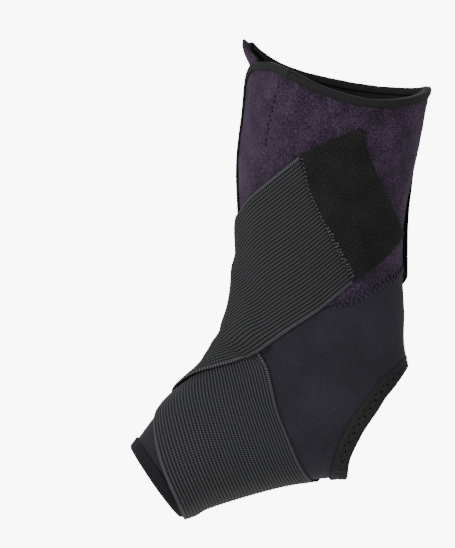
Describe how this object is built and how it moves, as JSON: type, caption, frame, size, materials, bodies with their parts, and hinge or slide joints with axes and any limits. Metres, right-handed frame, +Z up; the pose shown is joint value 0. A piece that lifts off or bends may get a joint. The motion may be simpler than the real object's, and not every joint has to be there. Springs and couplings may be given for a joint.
{
  "type": "ankle brace",
  "caption": "Wrap-around ankle brace with an open heel and toe, a shin cuff, and two elastic straps crossing over the instep to hook tabs on the cuff.",
  "frame": {"origin": "centre of the ankle joint that the brace is worn on", "axes": "+Z up the leg, toes towards -X, inner side of the foot at -Y, outer side at +Y"},
  "size_m": [0.1719, 0.1011, 0.2745],
  "materials": {
    "neoprene_jersey": "matte knitted jersey bonded to neoprene",
    "loop_pile": "fuzzy unbroken loop pile",
    "heel_elastic_tape": "matte ribbed elastic tape with needle holes",
    "rolled_hem_tape": "matte gathered tape",
    "binding_tape": "matte woven tape",
    "ribbed_elastic": "matte woven elastic with ribs along its length",
    "hook_pad": "moulded hooks on black tape",
    "tab_cloth": "fine black napped cloth"
  },
  "bodies": {
    "root": {"sleeve": "neoprene_jersey", "cuff": "loop_pile", "heel_binding": "heel_elastic_tape", "toe_binding": "rolled_hem_tape", "flap_binding": "binding_tape", "rim_binding": "binding_tape", "strap_under": "ribbed_elastic", "strap_over": "ribbed_elastic", "inner_hook_pad": "hook_pad", "inner_tab": "tab_cloth", "outer_hook_pad": "hook_pad", "outer_tab": "tab_cloth"}
  },
  "joints": []
}
